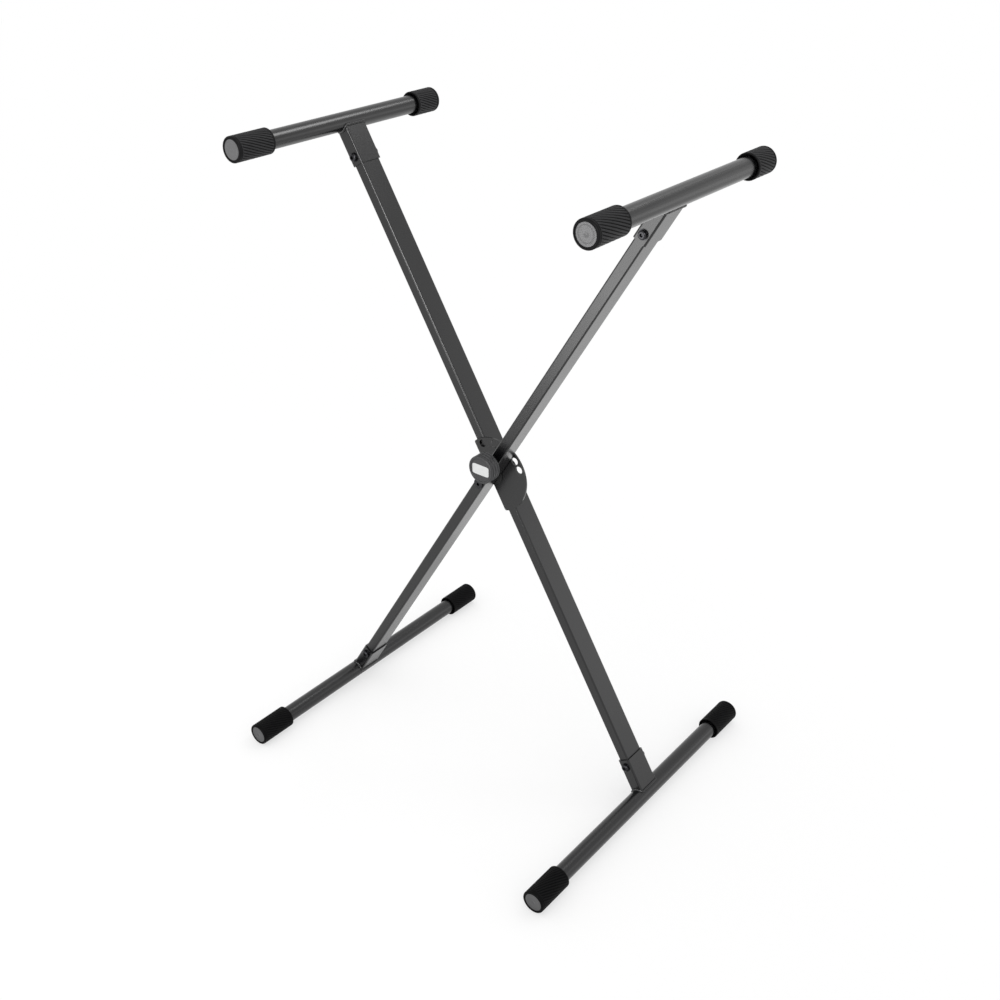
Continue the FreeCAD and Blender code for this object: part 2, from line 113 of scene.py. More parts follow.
def close_material(tree, values, tint, gloss, bump):
    """Feed a colour, a roughness and a bump to the surface shader, and that to the output."""
    shader = add_node(tree, "ShaderNodeBsdfPrincipled", values,
                      {"Base Color": tint.outputs["Color"], "Roughness": gloss.outputs["Result"],
                       "Normal": bump.outputs["Normal"]})
    add_node(tree, "ShaderNodeOutputMaterial", links={"Surface": shader.outputs["BSDF"]})


# %% [markdown]
# ## Satin black powder coat
# The tubes are steel, sprayed with black polyester powder and baked. The powder flows into a skin
# with a faint orange peel, so its gloss is soft and a little broken up. A picture of paint would
# need every tube unwrapped and would show seams, so the peel and the clouds are noise in the
# object's own coordinates. The base is nearly black: the grey that the eye sees is the white room
# mirrored in the skin, which is why the hidden corners go fully dark. The true peel is about a
# millimetre across, which is too fine to show from here, so it is drawn at twice that.

# %% Powder coat
PEEL = 2.2 * MM
CLOUD = 60 * MM
COAT_TONES = ("#08080a", "#0e0e0f")
COAT_SHINY = 0.23
COAT_DULL = 0.31
COAT_BUMP = 0.02
COAT_IOR = 1.5
BUMP_DEPTH = 0.1 * MM


def powder_coat():
    """Black polyester powder coat: soft gloss over a near-black base with a fine peel."""
    material, tree = open_material("powder_coat_satin_black")
    place = add_node(tree, "ShaderNodeTexCoord").outputs["Object"]
    peel = add_node(tree, "ShaderNodeTexNoise", {"Scale": 1 / PEEL, "Detail": 2.0},
                    {"Vector": place})
    cloud = add_node(tree, "ShaderNodeTexNoise", {"Scale": 1 / CLOUD, "Detail": 4.0},
                     {"Vector": place})
    tint = add_node(tree, "ShaderNodeValToRGB", links={"Fac": cloud.outputs["Fac"]},
                    tones=COAT_TONES)
    gloss = add_node(tree, "ShaderNodeMapRange", {"To Min": COAT_SHINY, "To Max": COAT_DULL},
                     {"Value": cloud.outputs["Fac"]})
    bump = add_node(tree, "ShaderNodeBump", {"Strength": COAT_BUMP, "Distance": BUMP_DEPTH},
                    {"Height": peel.outputs["Fac"]})
    close_material(tree, {"IOR": COAT_IOR}, tint, gloss, bump)
    return material


finish = {"black_paint": powder_coat()}
print("made", finish["black_paint"].name)

# %% [markdown]
# ## Moulded black rubber
# The end caps are moulded in black rubber, which has a fine matt grain from the mould and a little
# dull bloom. It mirrors less than paint does, so its specular level is low. On the arms the tops of
# the ribs carry a painted highlight, a sheen painted paler, and the valleys between them carry
# painted shade. The caps of the feet, low down where less light falls, get painted shade almost all
# over. Two materials would meet in hard borders, so one value stored on the mesh, from zero in a
# shaded valley to one on a lit rib, fades between two tones. The grain of such a mould is a few
# tenths of a millimetre, and is drawn coarser so that it shows.

# %% Rubber
RUBBER_GRAIN = 0.9 * MM
BLOOM = 14 * MM
# Painted light: the valley tones are painted shade, and the rib tones are a painted sheen on the
# ribs' tops.
PAINTED_SHEEN_ATTRIBUTE = "painted_rib_sheen_share"
VALLEY_SHADE_TONES = ("#060606", "#0a0a0b")
RIB_SHEEN_TONES = ("#2c2c2d", "#3a3a3b")
RUBBER_SHINY = 0.4
RUBBER_DULL = 0.52
RUBBER_BUMP = 0.08
RUBBER_IOR = 1.5
RUBBER_SPECULAR = 0.04


def moulded_rubber():
    """Black moulded rubber: dull, with fine grain, patches of bloom, a painted sheen on the ribs
    and painted shade in the valleys.
    """
    material, tree = open_material("rubber_moulded_black")
    place = add_node(tree, "ShaderNodeTexCoord").outputs["Object"]
    grain = add_node(tree, "ShaderNodeTexNoise", {"Scale": 1 / RUBBER_GRAIN, "Detail": 3.0},
                     {"Vector": place})
    bloom = add_node(tree, "ShaderNodeTexNoise", {"Scale": 1 / BLOOM, "Detail": 5.0},
                     {"Vector": place}).outputs["Fac"]
    # The share of painted sheen: one on a lit rib, zero in a valley of painted shade.
    rib_sheen = add_node(tree, "ShaderNodeAttribute", attribute_name=PAINTED_SHEEN_ATTRIBUTE)
    valley = add_node(tree, "ShaderNodeValToRGB", links={"Fac": bloom}, tones=VALLEY_SHADE_TONES)
    rib = add_node(tree, "ShaderNodeValToRGB", links={"Fac": bloom}, tones=RIB_SHEEN_TONES)
    tint = add_node(tree, "ShaderNodeMixRGB",
                    links={"Fac": rib_sheen.outputs["Fac"], "Color1": valley.outputs["Color"],
                           "Color2": rib.outputs["Color"]})
    gloss = add_node(tree, "ShaderNodeMapRange", {"To Min": RUBBER_SHINY, "To Max": RUBBER_DULL},
                     {"Value": bloom})
    bump = add_node(tree, "ShaderNodeBump", {"Strength": RUBBER_BUMP, "Distance": BUMP_DEPTH},
                    {"Height": grain.outputs["Fac"]})
    close_material(tree, {"IOR": RUBBER_IOR, "Specular IOR Level": RUBBER_SPECULAR},
                   tint, gloss, bump)
    return material


finish["cap_rubber"] = moulded_rubber()
print("made", finish["cap_rubber"].name)

# %% [markdown]
# ## Black and bright zinc on steel
# The bolts, nuts and washers are steel with a black zinc plating, and the lock's inner pieces have
# a bright one. Both are metals, so the colour sits in the mirror reflection. Fine turning lines and
# a change of gloss keep them from looking like chrome. The lines could be cut into the mesh, but
# they are far finer than its faces, so a wave texture draws them in the bump. Real ones lie a tenth
# or two of a millimetre apart, and are drawn coarser here so that they show.

# %% Zinc plating
TURNING = 0.5 * MM
WAVE_PERIOD = 0.314  # metres between the waves of a wave texture at a scale of one
PLATING_CLOUD = 5 * MM
PLATING_BUMP = 0.05
PLATING_BUMP_DEPTH = 0.05 * MM


def zinc_plating(name, tones, shiny, dull):
    """Plated steel: a metal tinted between two tones, with fine turning lines and cloudy gloss."""
    material, tree = open_material(name)
    place = add_node(tree, "ShaderNodeTexCoord").outputs["Object"]
    lines = add_node(tree, "ShaderNodeTexWave",
                     {"Scale": WAVE_PERIOD / TURNING, "Distortion": 1.5}, {"Vector": place},
                     bands_direction="Y")
    cloud = add_node(tree, "ShaderNodeTexNoise", {"Scale": 1 / PLATING_CLOUD, "Detail": 4.0},
                     {"Vector": place}).outputs["Fac"]
    tint = add_node(tree, "ShaderNodeValToRGB", links={"Fac": cloud}, tones=tones)
    gloss = add_node(tree, "ShaderNodeMapRange", {"To Min": shiny, "To Max": dull},
                     {"Value": cloud})
    bump = add_node(tree, "ShaderNodeBump",
                    {"Strength": PLATING_BUMP, "Distance": PLATING_BUMP_DEPTH},
                    {"Height": lines.outputs["Fac"]})
    close_material(tree, {"Metallic": 1.0}, tint, gloss, bump)
    return material


finish["black_fasteners"] = zinc_plating("black_zinc_on_steel", ("#2c2c2e", "#3c3c3e"),
                                         shiny=0.24, dull=0.4)
finish["bright_steel"] = zinc_plating("bright_zinc_on_steel", ("#b4b5b4", "#cfd0cf"),
                                      shiny=0.2, dull=0.34)
print("made", finish["black_fasteners"].name, "and", finish["bright_steel"].name)

# %% [markdown]
# ## Moulded plastics
# The knob is moulded in dark grey plastic with a fine spark-eroded grain, and the spacer at the
# pivot is a smoother black nylon. They differ only in colour, grain and gloss, so one function
# makes both, and later the smooth end faces of the caps and the knob's panel too. The grain of a
# mould is a tenth or two of a millimetre, and is drawn coarser so that it shows.

# %% Plastics
FLOW = 14 * MM
PLASTIC_IOR = 1.46


def moulded_surface(name, tones, grain_size, grain_bump, shiny, dull):
    """A moulded surface: an even colour with slight flow clouds and the mould's grain."""
    material, tree = open_material(name)
    place = add_node(tree, "ShaderNodeTexCoord").outputs["Object"]
    grain = add_node(tree, "ShaderNodeTexNoise", {"Scale": 1 / grain_size, "Detail": 3.0},
                     {"Vector": place}).outputs["Fac"]
    flow = add_node(tree, "ShaderNodeTexNoise", {"Scale": 1 / FLOW, "Detail": 3.0},
                    {"Vector": place})
    tint = add_node(tree, "ShaderNodeValToRGB", links={"Fac": flow.outputs["Fac"]}, tones=tones)
    gloss = add_node(tree, "ShaderNodeMapRange", {"To Min": shiny, "To Max": dull},
                     {"Value": grain})
    bump = add_node(tree, "ShaderNodeBump", {"Strength": grain_bump, "Distance": BUMP_DEPTH},
                    {"Height": grain})
    close_material(tree, {"IOR": PLASTIC_IOR}, tint, gloss, bump)
    return material


finish["nylon"] = moulded_surface("nylon_turned_black", ("#141414", "#1b1b1b"),
                                  grain_size=0.7 * MM, grain_bump=0.06, shiny=0.4, dull=0.5)
finish["knob_plastic"] = moulded_surface("plastic_moulded_dark_grey", ("#232325", "#2c2c2e"),
                                         grain_size=0.6 * MM, grain_bump=0.12,
                                         shiny=0.42, dull=0.52)
print("made", finish["nylon"].name, "and", finish["knob_plastic"].name)

# %% [markdown]
# ## Dress the CAD nodes
# The stand has over forty CAD nodes, and each could be dressed by name. But each has a material
# slot in its record, so one table from slot to finish dresses the whole stand.

# %% Finishes by slot
slot_of = {part["node"]: part["material_slot"] for part in frame["record"]["subparts"]}
for node, obj in nodes.items():
    obj.data.materials.clear()
    obj.data.materials.append(finish[slot_of[node]])
print("dressed", len(nodes), "CAD nodes in", len(finish), "finishes")

# %% [markdown]
# ## From rows of places to a mesh
# Every new piece here is a stack of closed rows: a profile that goes round an axis, or a ring that
# goes along a wire. Blender's Spin and Screw tools make such shapes too, but with a grid of places
# from numpy each rib or ripple can have columns of its own, and the ends are closed in the same
# step.

# %% Rows to a mesh
def mesh_from_rows(name, rows):
    """Join a grid of places, of shape (rows, columns, 3): each row closes on itself, neighbouring
    rows are joined by quads, and a fan to its own middle closes the first row and the last."""
    count, columns = rows.shape[:2]
    here = np.arange(columns)
    onward = np.roll(here, -1)
    start = columns * np.arange(count - 1)[:, None]
    quads = np.stack([start + here, start + onward,
                      start + columns + onward, start + columns + here], axis=-1)
    first_pole = count * columns
    last = columns * (count - 1)
    first_fan = np.stack([np.full(columns, first_pole), onward, here], axis=-1)
    last_fan = np.stack([np.full(columns, first_pole + 1), last + here, last + onward], axis=-1)
    places = np.concatenate([rows.reshape(-1, 3), [rows[0].mean(axis=0)], [rows[-1].mean(axis=0)]])
    faces = quads.reshape(-1, 4).tolist() + first_fan.tolist() + last_fan.tolist()
    mesh = bpy.data.meshes.new(name)
    mesh.from_pydata(places.tolist(), [], faces)
    mesh.shade_smooth()
    return mesh


# %% [markdown]
# ## From a mesh to a piece
# A piece is a mesh with a finish that moves with the stand. It rides on the body of the CAD node
# it belongs to, and where it stands in for that node, the node is hidden. A piece that stretches
# between two bodies rides on neither, and stays where it is built.

# %% Mesh to a piece
bodies = frame["record"]["behaviour"]["bodies"]
body_of = {node: body for body, group in bodies.items() for node in group}


def piece_from_rows(name, rows, node, material, stands_in=True, across=None):
    """Make a piece from rows of places and the body of a CAD node."""
    mesh = mesh_from_rows(name, rows)
    mesh.materials.append(material)
    obj = bpy.data.objects.new(name, mesh)
    bpy.context.scene.collection.objects.link(obj)
    if across:
        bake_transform(obj)
    else:
        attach(obj, body_of[node])
    if stands_in:
        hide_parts(node)
    print(name, "has", len(mesh.polygons), "faces on", body_of[node])
    return obj


# %% [markdown]
# ## Profiles
# A turned shape is a line of depths and radii. The depth is counted from the closed face inwards,
# and the radius from the axis. Bevels could round the edges later, but a profile that is a short
# list of runs and quarter arcs has its roundings from the start, each with a size in millimetres.

# %% Profile tools
def run(start, end, count):
    """Evenly spaced (depth, radius) pairs from start to end, both included."""
    share = np.linspace(0, 1, count)[:, None]
    return np.array(start) + (np.array(end) - np.array(start)) * share


def quarter(centre, radius, start, end, count):
    """Places on an arc: centre plus radius times (cosine, sine) of an angle, in degrees."""
    angle = np.radians(np.linspace(start, end, count))
    return np.array(centre) + radius * np.stack([np.cos(angle), np.sin(angle)], axis=-1)


def around(columns):
    """The angles of one row: a full turn, counted backwards so that the faces of a turned piece
    look outward."""
    return np.linspace(2 * math.pi, 0, columns, endpoint=False)


def ease(share):
    """A smooth step from 0 to 1: 3 s squared less 2 s cubed."""
    share = np.clip(share, 0, 1)
    return share * share * (3 - 2 * share)


# %% [markdown]
# ## End face of a cap
# A rubber cap is a moulded cup that is pushed over the end of a bar. Its closed end is a sunk disc
# with a dimple in the middle, where the rubber was let into the mould, and a fine raised ring. All
# of it is low relief that a bump could fake, but it is seen close up on four caps, so it is shape.

# %% End face
DISC_RADIUS = 12.6 * MM
DISC_DEPTH = 0.9 * MM
DISC_ROWS = 26
DIMPLE_RADIUS = 3.5 * MM
DIMPLE_DEPTH = 0.5 * MM
DIMPLE_ROWS = 9
RING_RADIUS = 8.6 * MM
RING_WIDTH = 0.5 * MM
RING_HEIGHT = 0.22 * MM


def end_face():
    """The line from the middle to the disc's edge. In the dimple the depth follows half a cosine.
    On the disc the ring rises by e to the minus square of the distance from it, in ring widths."""
    out = np.linspace(0.03, 1, DIMPLE_ROWS) * DIMPLE_RADIUS
    bowl = DISC_DEPTH + DIMPLE_DEPTH * (1 + np.cos(math.pi * out / DIMPLE_RADIUS)) / 2
    across = np.linspace(1.06 * DIMPLE_RADIUS, 0.96 * DISC_RADIUS, DISC_ROWS)
    disc = DISC_DEPTH - RING_HEIGHT * np.exp(-((across - RING_RADIUS) / RING_WIDTH) ** 2)
    return np.concatenate([np.stack([bowl, out], axis=-1), np.stack([disc, across], axis=-1)])


print("the end face of a cap has", len(end_face()), "rows")

# %% [markdown]
# ## Profile of a cap
# A rounded rim goes round the disc, and a groove sets it off from the grip. The mouth flares where
# the tube goes in, and the bore ends inside, so that the whole cap is one closed line turned round
# its axis.

# %% Cap profile
CAP_EDGE = 0.3 * MM
RIM_ROUND = 2.0 * MM
GROOVE_START = 3.4 * MM
GROOVE_WIDTH = 1.2 * MM
GROOVE_DEPTH = 0.5 * MM
GROOVE_SOFT = 0.15 * MM
GRIP_ROWS = 34
LIP_ROUND = 0.8 * MM
MOUTH_RADIUS = 13.5 * MM
MOUTH_DEPTH = 4.0 * MM
BORE_RADIUS = 11.05 * MM
CLOSED_END = 5.0 * MM


def cap_profile(length, radius):
    """The cap's line from the dimple over the rim and the grip to the mouth and down the bore."""
    edge, soft = CAP_EDGE, GROOVE_SOFT
    groove_end = GROOVE_START + GROOVE_WIDTH
    floor = radius - GROOVE_DEPTH
    return np.concatenate([
        end_face(),
        quarter((DISC_DEPTH - edge, DISC_RADIUS - edge), edge, 0, 90, 4),
        quarter((edge, DISC_RADIUS + edge), edge, 270, 180, 4),
        quarter((RIM_ROUND, radius - RIM_ROUND), RIM_ROUND, 180, 90, 9),
        run((GROOVE_START - 2 * soft, radius), (GROOVE_START - soft, radius), 2),
        run((GROOVE_START + soft, floor), (groove_end - soft, floor), 3),
        [(groove_end + soft, radius)],
        run((groove_end + 2 * soft, radius), (length - LIP_ROUND - soft, radius), GRIP_ROWS),
        quarter((length - LIP_ROUND, radius - LIP_ROUND), LIP_ROUND, 90, 0, 6),
        quarter((length - edge, MOUTH_RADIUS + edge), edge, 0, -60, 4),
        run((length - 2 * edge, MOUTH_RADIUS - edge), (length - MOUTH_DEPTH, BORE_RADIUS), 5),
        run((length - MOUTH_DEPTH - edge, BORE_RADIUS), (CLOSED_END + edge, BORE_RADIUS), 4),
        run((CLOSED_END, BORE_RADIUS - edge), (CLOSED_END, edge), 3),
    ])


# %% [markdown]
# ## Ribs of a cap
# The grip has fine ribs that wind round the cap like a slow screw. A bump pattern would leave the
# cap's outline smooth, so the ribs are real shape. The grid is twisted with them: each rib follows
# its own columns and stays crisp with few faces.

# %% Ribs
RIBS = 28
RIB_COLUMNS = 10
CAP_COLUMNS = RIBS * RIB_COLUMNS
RIB_DEPTH = 1.1 * MM
RIB_VALLEY = 0.5  # share of half a pitch that the slope into a valley takes
RIB_SLANT = math.radians(22)
RIB_MARGIN = 2.6 * MM
RIB_FADE = 1.0 * MM
GRIP_SHARE = 0.99  # rows wider than this share of the cap's radius belong to the grip
# The rim and lip get a part of the painted sheen, between a shaded valley and a lit rib.
PLAIN_SHEEN = 0.3


def end_cap_rows(node):
    """Rows of a cap. The place at depth d and turn t is the axis plus radius(d, t) times (cos, sin)
    of the turn t less the ribs' twist. Over each pitch the radius keeps its full size on the land
    and sinks by a smooth step into the valley. Returns the rows, and each place's share of the
    painted sheen: one on a lit land, zero in a valley of painted shade."""
    low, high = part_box(node)
    length = high.y - low.y
    radius = (high.x - low.x) / 2
    facing = -1 if low.y > 0 else 1
    depth, out = cap_profile(length, radius).T[..., None]
    first = GROOVE_START + GROOVE_WIDTH
    last = length - RIB_MARGIN
    turn = around(CAP_COLUMNS)
    twist = np.clip(depth - first, 0, last - first) * math.tan(RIB_SLANT) / radius
    fade = ease((depth - first) / RIB_FADE) * ease((last - depth) / RIB_FADE)
    on_grip = fade * (out > GRIP_SHARE * radius)
    to_land = np.abs(1 - 2 * (RIBS * turn / (2 * math.pi) % 1))
    sunk = on_grip * (1 - ease(to_land / RIB_VALLEY))
    out = out - RIB_DEPTH * sunk
    # Painted light: a land's top gets the painted sheen, a valley painted shade, the plain rim and
    # lip a part of it.
    rib_sheen = np.where(on_grip > 0, 1 - sunk, PLAIN_SHEEN) * np.ones_like(out)
    angle = turn - twist
    face = low.y if facing == 1 else high.y
    x = (low.x + high.x) / 2 + facing * out * np.cos(angle)
    z = (low.z + high.z) / 2 + out * np.sin(angle)
    y = np.broadcast_to(face + facing * depth, x.shape)
    return np.stack([x, y, z], axis=-1), rib_sheen


# %% [markdown]
# ## Make the caps
# The disc in a cap's end is smooth and paler than the grip, so it gets a finish of its own. On the
# arms its copy is paler still, with painted light, and on the feet, which stand low where less
# light falls, a darker copy carries painted shade. It could be a separate piece, but it is moulded
# in one with the cap, so the faces of the first rows take the mesh's second material instead. The
# share of painted sheen goes on the mesh as an attribute, which the rubber reads.

# %% Caps
# The feet's ribs get little of the painted sheen: painted shade low down, where less light falls.
FOOT_SHEEN = 0.12
END_ROWS = DIMPLE_ROWS + DISC_ROWS - 2
END_SKIN = {"grain_size": 0.9 * MM, "grain_bump": 0.05, "shiny": 0.36, "dull": 0.44}
# Two copies of one smooth rubber: the arm's paler one carries painted light, the foot's darker one
# painted shade.
arm_end_painted_light = moulded_surface("rubber_smooth_end_painted_light", ("#606061", "#707071"), **END_SKIN)
foot_end_painted_shade = moulded_surface("rubber_smooth_end_painted_shade", ("#444445", "#545455"), **END_SKIN)

for node in [node for node in nodes if node.endswith("_cap")]:
    on_foot = "_foot_" in node
    rows, rib_sheen = end_cap_rows(node)
    cap = piece_from_rows(node + "_ribbed", rows, node, finish["cap_rubber"]).data
    # The painted sheen of each place, cut down on the feet as painted shade.
    share = np.append(FOOT_SHEEN * rib_sheen if on_foot else rib_sheen, [PLAIN_SHEEN, PLAIN_SHEEN])
    cap.attributes.new(PAINTED_SHEEN_ATTRIBUTE, "FLOAT", "POINT").data.foreach_set("value", share)
    cap.materials.append(foot_end_painted_shade if on_foot else arm_end_painted_light)
    on_end = np.zeros(len(cap.polygons), dtype=np.int32)
    on_end[:(END_ROWS - 1) * CAP_COLUMNS] = 1
    on_end[-2 * CAP_COLUMNS:-CAP_COLUMNS] = 1
    cap.polygons.foreach_set("material_index", on_end)

# %% [markdown]
# ## Pull knob
# The knob is a moulded cup on the end of the lock pin. Its face is sunk inside a rounded rim, three
# grooves round its side give the fingers a hold, and its hollow back goes over the guide barrel. A
# cylinder with loop cuts and bevels would do, but a profile turned round the pin's axis, as for the
# caps, keeps every wall and rounding at its real size.

# %% Knob profile
KNOB_EDGE = 0.4 * MM
KNOB_FACE_RADIUS = 15.0 * MM
KNOB_FACE_DEPTH = 0.8 * MM
KNOB_ROUND = 1.6 * MM
KNOB_SIDE_ROWS = 90
KNOB_GROOVES = 3
KNOB_GROOVE_PITCH = 4.4 * MM
KNOB_GROOVE_WIDTH = 1.8 * MM
KNOB_GROOVE_DEPTH = 0.9 * MM
KNOB_GROOVE_FALL = 1.6  # above one, a groove's floor is flat in the middle
KNOB_WALL = 3.0 * MM
KNOB_FRONT = 4.0 * MM
KNOB_BOSS_RADIUS = 6.0 * MM
KNOB_BOSS_LENGTH = 4.0 * MM
KNOB_BORE_RADIUS = 2.55 * MM
KNOB_SKIN = 2.0 * MM


def knob_side(length, radius):
    """The knob's side: the radius less a smooth step down into each groove and up again."""
    depth = np.linspace(KNOB_ROUND, length - KNOB_EDGE, KNOB_SIDE_ROWS)
    half = KNOB_GROOVE_WIDTH / 2
    middle = KNOB_GROOVE_PITCH * np.arange(1, KNOB_GROOVES + 1) - half
    reach = np.abs(depth[:, None] - middle) / half
    sunk = KNOB_GROOVE_DEPTH * ease(KNOB_GROOVE_FALL * (1 - reach)).sum(axis=1)
    return np.stack([depth, radius - sunk], axis=-1)


def knob_profile(length, radius):
    """The knob's line from the middle of its face over the grip to the hollow back and the boss."""
    edge = KNOB_EDGE
    inside = radius - KNOB_WALL
    boss_end = KNOB_FRONT + KNOB_BOSS_LENGTH
    return np.concatenate([
        run((KNOB_FACE_DEPTH, edge), (KNOB_FACE_DEPTH, KNOB_FACE_RADIUS - edge), 8),
        quarter((KNOB_FACE_DEPTH - edge, KNOB_FACE_RADIUS - edge), edge, 0, 90, 5)[1:],
        quarter((edge, KNOB_FACE_RADIUS + edge), edge, 270, 180, 5)[1:],
        quarter((KNOB_ROUND, radius - KNOB_ROUND), KNOB_ROUND, 180, 95, 9),
        knob_side(length, radius),
        quarter((length - edge, radius - edge), edge, 85, 0, 5),
        quarter((length - edge, inside + edge), edge, 0, -90, 5),
        run((length - 2 * edge, inside), (KNOB_FRONT + edge, inside), 4),
        run((KNOB_FRONT, inside - edge), (KNOB_FRONT, KNOB_BOSS_RADIUS + edge), 4),
        run((KNOB_FRONT + edge, KNOB_BOSS_RADIUS), (boss_end - edge, KNOB_BOSS_RADIUS), 3),
        run((boss_end, KNOB_BOSS_RADIUS - edge), (boss_end, KNOB_BORE_RADIUS + edge), 3),
        run((boss_end - edge, KNOB_BORE_RADIUS), (KNOB_SKIN + edge, KNOB_BORE_RADIUS), 3),
        run((KNOB_SKIN, KNOB_BORE_RADIUS - edge), (KNOB_SKIN, edge), 2),
    ])


# %% Knob
KNOB_COLUMNS = 128


def knob_rows():
    """Rows of the knob: at each depth a circle of the profile's radius round the pin's axis."""
    low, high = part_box("pull_knob")
    depth, out = knob_profile(high.y - low.y, (high.x - low.x) / 2).T[..., None]
    turn = around(KNOB_COLUMNS)
    x = (low.x + high.x) / 2 + out * np.cos(turn)
    z = (low.z + high.z) / 2 + out * np.sin(turn)
    return np.stack([x, np.broadcast_to(low.y + depth, x.shape), z], axis=-1)


piece_from_rows("pull_knob_grooved", knob_rows(), "pull_knob", finish["knob_plastic"])

# %% [markdown]
# ## Pale panel on the knob
# A thin blank panel lies in the knob's sunk face. It could be a box with bevelled corners, but a
# superellipse gives a rectangle with generous round corners in one formula, and rows that shrink
# towards the front roll its edge over.

# %% Panel
PANEL_WIDTH = 25 * MM
PANEL_HEIGHT = 13.5 * MM
PANEL_THICKNESS = 0.35 * MM
PANEL_SQUARENESS = 7
PANEL_COLUMNS = 160
# For each row, its share of the full outline, and its share of the thickness above the knob's face.
PANEL_SHARE = (0.05, 0.5, 0.93, 0.965, 0.99, 1.0, 1.0)
PANEL_RISE = (1.0, 1.0, 1.0, 0.95, 0.7, 0.4, -0.4)


def panel_rows():
    """Rows of the panel: the superellipse's radius at turn t, which is one over the n-th root of
    |cos t / a|^n + |sin t / b|^n, times a share that shrinks towards the front and the middle."""
    low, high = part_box("pull_knob")
    turn = around(PANEL_COLUMNS)
    wide = np.abs(np.cos(turn) / (PANEL_WIDTH / 2)) ** PANEL_SQUARENESS
    tall = np.abs(np.sin(turn) / (PANEL_HEIGHT / 2)) ** PANEL_SQUARENESS
    reach = (wide + tall) ** (-1 / PANEL_SQUARENESS) * np.array(PANEL_SHARE)[:, None]
    x = (low.x + high.x) / 2 + reach * np.cos(turn)
    z = (low.z + high.z) / 2 + reach * np.sin(turn)
    y = low.y + KNOB_FACE_DEPTH - PANEL_THICKNESS * np.array(PANEL_RISE)[:, None]
    return np.stack([x, np.broadcast_to(y, x.shape), z], axis=-1)


panel_film = moulded_surface("plastic_film_pale", ("#d8d9d8", "#e2e3e2"), grain_size=1.2 * MM,
                             grain_bump=0.02, shiny=0.34, dull=0.42)
piece_from_rows("knob_panel", panel_rows(), "pull_knob", panel_film, stands_in=False)

# %% [markdown]
# ## A ring along a path
# The lock's spring and the weld beads are both a round section carried along a path. A curve with
# a bevel makes that too, but the mesh is needed here: the spring spans two bodies, and a bead's
# radius changes along its way. The ring stands square to the path at every step, so the section
# keeps its thickness.

# %% Ring along a path
def rings_along(path, outward, radius, columns):
    """Rows of a round bar: at each step of the path a circle in the plane square to the path, which
    is the path plus radius times (cosine, sine) of an angle along two directions, outward and the
    one square to it."""
    way = np.gradient(path, axis=0)
    way /= np.linalg.norm(way, axis=1, keepdims=True)
    upward = np.cross(way, outward)
    angle = np.linspace(0, 2 * math.pi, columns, endpoint=False)[:, None]
    ring = np.cos(angle) * outward[:, None] + np.sin(angle) * upward[:, None]
    return path[:, None] + radius * ring


# %% [markdown]
# ## Lock spring
# A small compression spring in the barrel pushes the lock pin home. Its path is a helix round the
# pin. One end rests in the barrel and the other on the pin's seat, so the spring rides on neither
# body and stays where it is built. A spring that rode on one of them would cut into the other.

# %% Spring
WIRE = 1.0 * MM
WIRE_COLUMNS = 14
COIL_TURNS = 4.5
COIL_STEPS = 220


def spring_rows():
    """Rows of the spring: a ring of the wire's radius along a helix, whose place at turn t is the
    pin's axis plus the coil's radius times (cos t, sin t), moving evenly along the axis."""
    low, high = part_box("knob_spring")
    pin_low, pin_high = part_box("lock_pin")
    centre = (np.array(pin_low) + np.array(pin_high)) / 2
    coil = (high.x - low.x - WIRE) / 2
    turn = 2 * math.pi * COIL_TURNS * np.linspace(0, 1, COIL_STEPS)
    outward = np.stack([np.cos(turn), 0 * turn, np.sin(turn)], axis=-1)
    y = np.linspace(high.y - WIRE / 2, low.y + WIRE / 2, COIL_STEPS)
    path = np.stack([centre[0] + 0 * y, y, centre[2] + 0 * y], axis=-1) + coil * outward
    return rings_along(path, outward, WIRE / 2, WIRE_COLUMNS)


spring_low, spring_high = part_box("knob_spring")
piece_from_rows("lock_spring_wound", spring_rows(), "knob_spring", finish["bright_steel"],
                across=("front_frame", "lock", spring_low,
                        (spring_low.x, spring_high.y, spring_low.z)))

# %% [markdown]
# ## Outline of a socket
# Each socket is welded to its round bar before the paint goes on, and the weld runs round the
# socket's foot. That outline is a rounded rectangle: four corner arcs, joined by straight runs and
# walked at an even pace, so that the weld's steps come out alike on sides and corners.

# %% Socket outline
SOCKET_HALF = (16.65 * MM, 8.65 * MM)
SOCKET_ROUND = 2.4 * MM
CORNER_PLACES = 30
WELD_OVERLAP = 3 * MM
WELD_STEPS = 520


def socket_outline():
    """Half sizes less the corner's radius place the four corner arcs; straight runs join them.
    Returns places (along the bar, across it) evenly spaced by length, the outward direction at
    each, and the lengths."""
    along, across = np.array(SOCKET_HALF) - SOCKET_ROUND
    centres = ((along, across), (-along, across), (-along, -across), (along, -across))
    arcs = [quarter(centre, SOCKET_ROUND, 90 * turn, 90 * turn + 90, CORNER_PLACES)
            for turn, centre in enumerate(centres)]
    corners = np.concatenate(arcs + [arcs[0][:1]])
    length = np.append(0, np.cumsum(np.linalg.norm(np.diff(corners, axis=0), axis=1)))
    step = np.linspace(0, length[-1] + WELD_OVERLAP, WELD_STEPS)
    places = np.stack([np.interp(step % length[-1], length, column) for column in corners.T],
                      axis=-1)
    way = np.gradient(places, axis=0)
    way /= np.linalg.norm(way, axis=1, keepdims=True)
    return places, np.stack([way[:, 1], -way[:, 0]], axis=-1), step


print("a weld is", round((socket_outline()[2][-1]) / MM, 1), "mm long")

# %% [markdown]
# ## Weld beads
# A weld is laid in small steps, which leaves ripples like a row of leaning coins under the coat. It
# could be a smooth tube with a bump, but its ripples show in the outline and catch the light, so
# the ring's radius swells and sinks with each step.

# %% Weld beads
WELD_RADIUS = 1.75 * MM
WELD_SWELL = 0.28 * MM
WELD_STEP = 2.6 * MM
WELD_COLUMNS = 20


